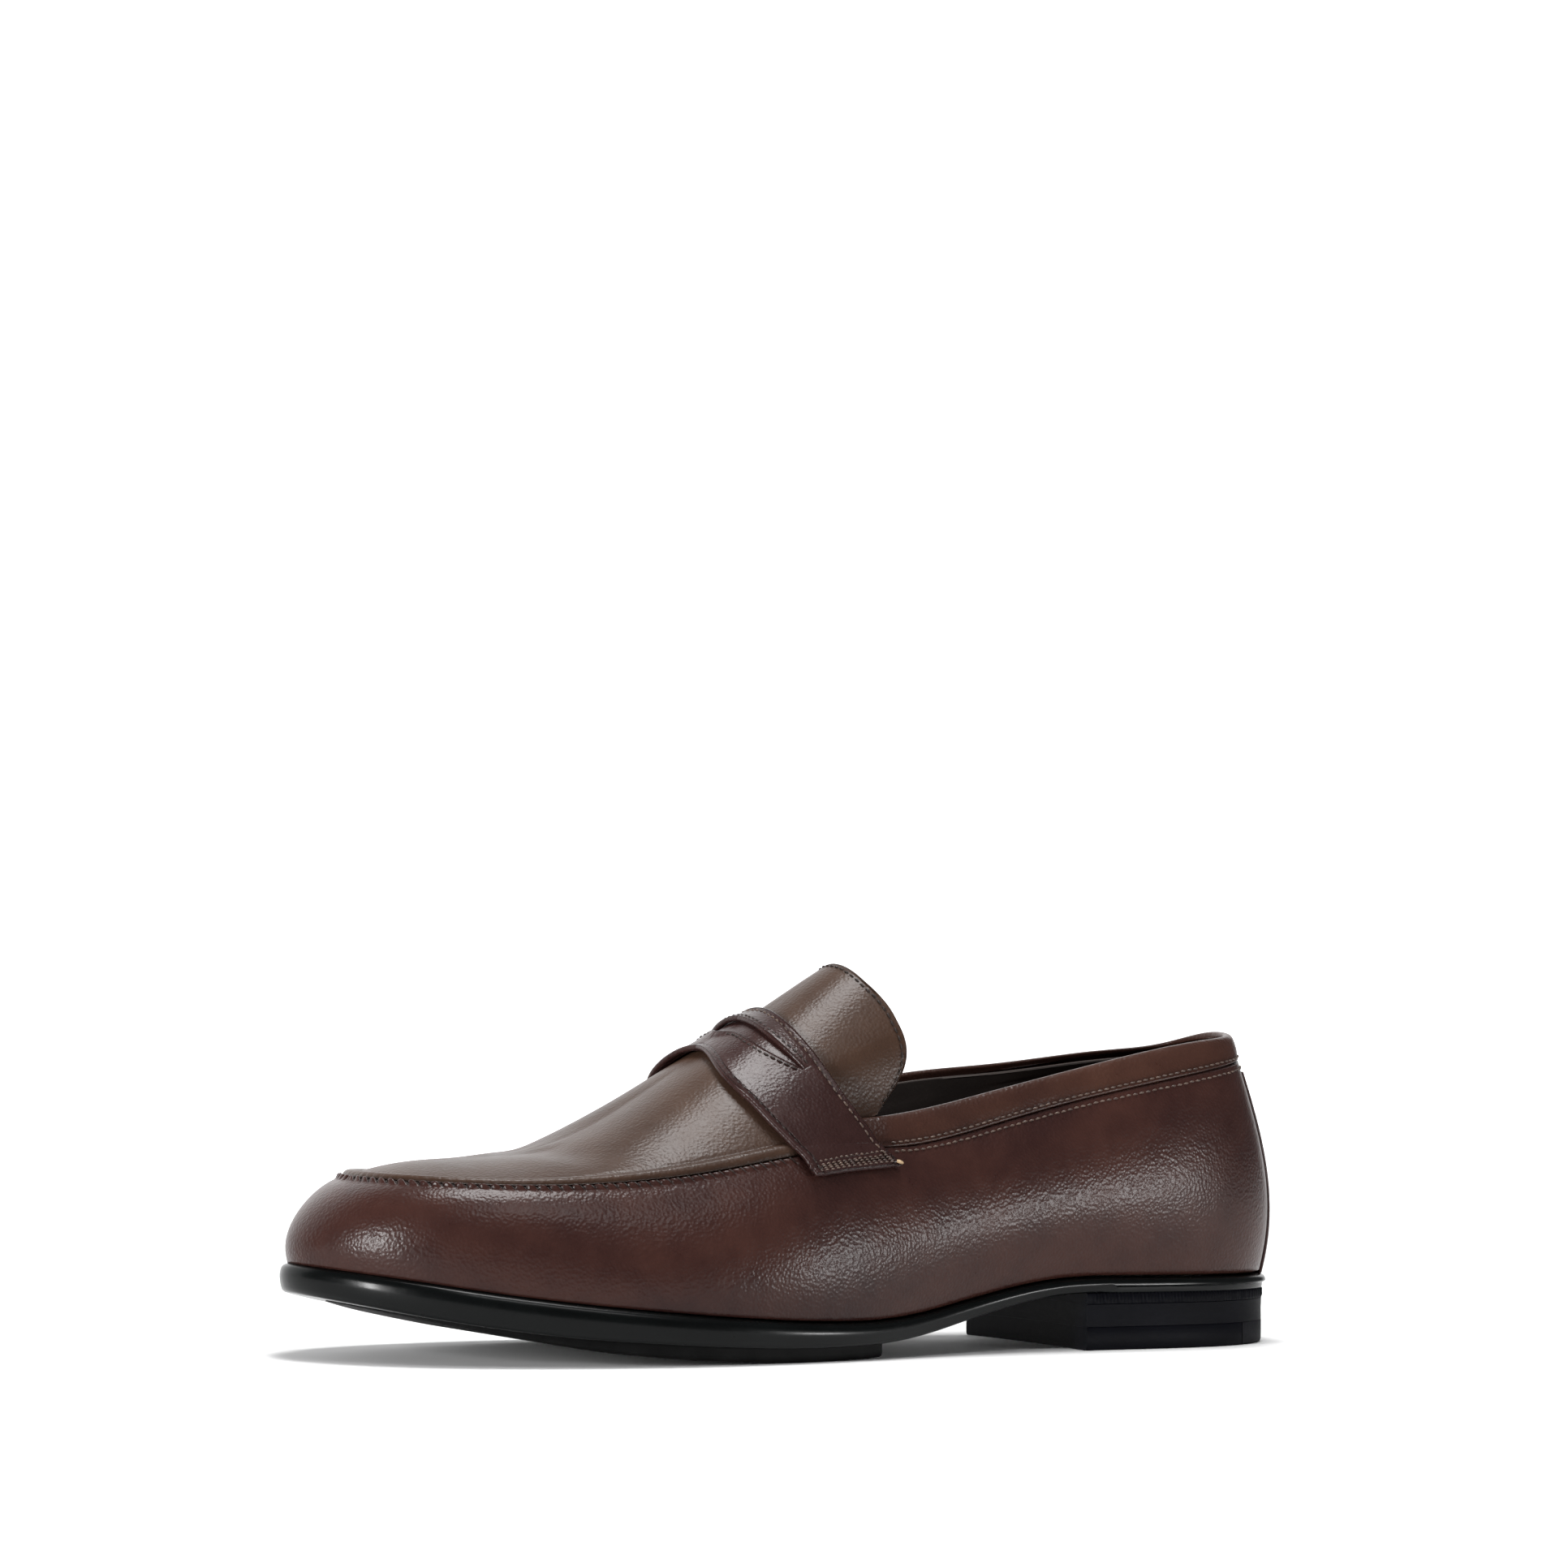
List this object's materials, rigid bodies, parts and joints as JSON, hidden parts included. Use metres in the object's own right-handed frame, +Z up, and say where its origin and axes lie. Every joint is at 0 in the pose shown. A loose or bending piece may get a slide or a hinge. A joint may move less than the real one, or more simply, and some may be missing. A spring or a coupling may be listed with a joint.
{
  "type": "penny loafer shoe",
  "caption": "Low slip-on left shoe with a moccasin-seam apron, slotted saddle strap, tongue flap, thin leather-look sole and a low stacked heel.",
  "frame": {"origin": "bottom centre of the whole shoe's bounding box, on the floor under the heel's top lift and the ball of the tread", "axes": "+X from toe to heel, +Z up, -Y the outer (lateral) side of this left shoe"},
  "size_m": [0.2986, 0.0978, 0.1048],
  "materials": {
    "upper_leather": "semi-gloss dark brown calf with fine grain",
    "strap_leather": "semi-gloss darker plum brown calf",
    "lining_leather": "smooth glossy dark brown lining leather",
    "grip_suede": "brushed suede heel grip",
    "stiffener": "resin-stiffened fibre sheet",
    "insole_fibre": "pressed fibre board",
    "cork": "granulated cork in binder",
    "foam": "open-cell foam",
    "shank_steel": "tempered spring steel",
    "nail_steel": "plain steel nails",
    "edge_black": "burnished glossy black sole edge",
    "tread_rubber": "matt black rubber",
    "heel_stack": "near-black heel stack, satin",
    "thread": "waxed brown polyester thread"
  },
  "bodies": {
    "shoe": {"apron": "upper_leather", "backstay": "strap_leather", "backstay_thread_lateral": "thread", "backstay_thread_medial": "thread", "collar_band": "upper_leather", "collar_thread_lower": "thread", "collar_thread_upper": "thread", "cork_filler": "cork", "heel_block": "heel_stack", "heel_counter": "stiffener", "heel_grip": "grip_suede", "heel_lift": "heel_stack", "heel_nail_1": "nail_steel", "heel_nail_2": "nail_steel", "heel_nail_3": "nail_steel", "heel_nail_4": "nail_steel", "heel_nail_5": "nail_steel", "heel_pad": "foam", "insole_board": "insole_fibre", "midsole": "edge_black", "moc_thread": "thread", "quarter_lining": "lining_leather", "saddle_strap": "strap_leather", "shank": "shank_steel", "slot_front_thread": "thread", "slot_rear_thread": "thread", "sock_liner": "lining_leather", "strap_end_thread_lateral": "thread", "strap_end_thread_medial": "thread", "strap_front_thread": "thread", "strap_rear_thread": "thread", "toe_lining": "lining_leather", "toe_puff": "stiffener", "top_lift": "tread_rubber", "top_lift_corner": "tread_rubber", "tread_outsole": "tread_rubber", "vamp_lining": "lining_leather", "wall": "upper_leather"},
    "tongue_flap": {"tongue": "upper_leather", "tongue_lining": "lining_leather", "tongue_thread": "thread"}
  },
  "joints": [
    {"name": "tongue_hinge", "type": "hinge", "parent": "shoe", "child": "tongue_flap", "pos_m": [-0.0111, 0, 0.09], "axis": [0, -1, 0], "range_deg": [0, 25], "stiffness_Nm_per_rad": 0.02}
  ]
}
